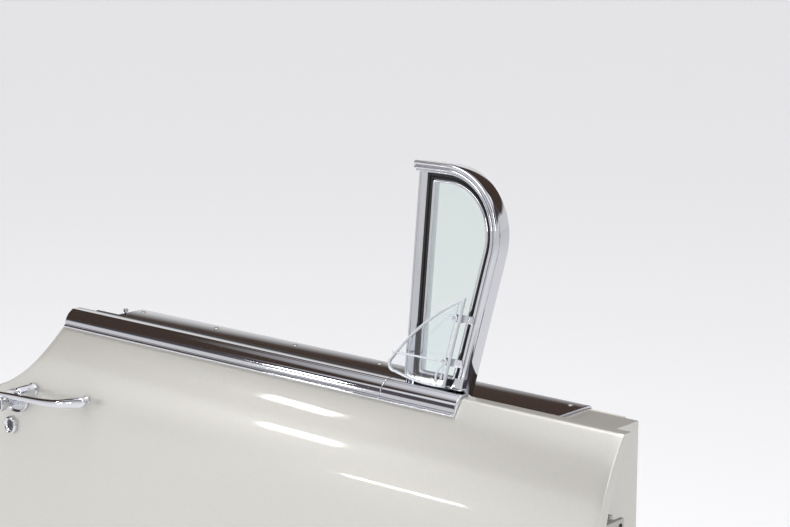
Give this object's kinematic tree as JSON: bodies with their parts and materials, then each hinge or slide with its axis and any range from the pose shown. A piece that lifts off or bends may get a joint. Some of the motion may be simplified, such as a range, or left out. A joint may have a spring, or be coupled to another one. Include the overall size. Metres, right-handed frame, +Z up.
{
  "type": "car front door with quarter window",
  "caption": "Right-hand front door of a large two-door convertible, with quarter window, belt mouldings, clear wind deflector, outside handle, trimmed inner side and hinges.",
  "frame": {"origin": "centre of the upper hinge's four pillar bolts, on the face that meets the pillar", "axes": "+X towards the front of the car, +Y towards the middle of the car, +Z up"},
  "size_m": [1.32, 0.2916, 0.9547],
  "materials": {
    "paint": "pearl cream car paint",
    "chrome": "polished chrome plate",
    "steel": "zinc-plated steel",
    "rubber": "matt black rubber",
    "glass": "lightly tinted safety glass",
    "clear_plastic": "clear acrylic, polished",
    "cream_vinyl": "cream vinyl",
    "black_vinyl": "black pleated cloth",
    "carpet": "black cut-pile carpet",
    "dark_plastic": "dark ribbed plate"
  },
  "bodies": {
    "hinge_leaves": {"hinge_pillar_leaves": "steel", "hinge_pins": "steel"},
    "door": {"outer_skin": "paint", "inner_pan": "paint", "door_weatherstrip": "rubber", "hinge_door_leaves": "steel", "belt_moulding": "chrome", "vent_base_moulding": "chrome", "belt_seal_outer": "rubber", "belt_seal_inner": "rubber", "door_glass": "glass", "division_bar": "chrome", "vent_frame": "chrome", "vent_sill": "chrome", "vent_seal": "rubber", "vent_sash": "chrome", "vent_glass": "glass", "wind_deflector": "clear_plastic", "deflector_clips": "chrome", "outer_handle": "chrome", "push_button": "chrome", "handle_escutcheon": "chrome", "lock_cylinder": "chrome", "inner_garnish": "chrome", "upper_trim": "cream_vinyl", "trim_bead": "chrome", "lower_trim": "black_vinyl", "kick_panel": "carpet", "armrest_base": "cream_vinyl", "armrest_pad": "cream_vinyl", "switch_plate": "dark_plastic", "inner_handle": "chrome", "lock_knob": "chrome", "latch": "steel"}
  },
  "joints": [
    {"name": "door_swing", "type": "hinge", "parent": "hinge_leaves", "child": "door", "pos_m": [-0.012, -0.034, 0], "axis": [0, 0, 1], "range_deg": [0, 65]}
  ]
}
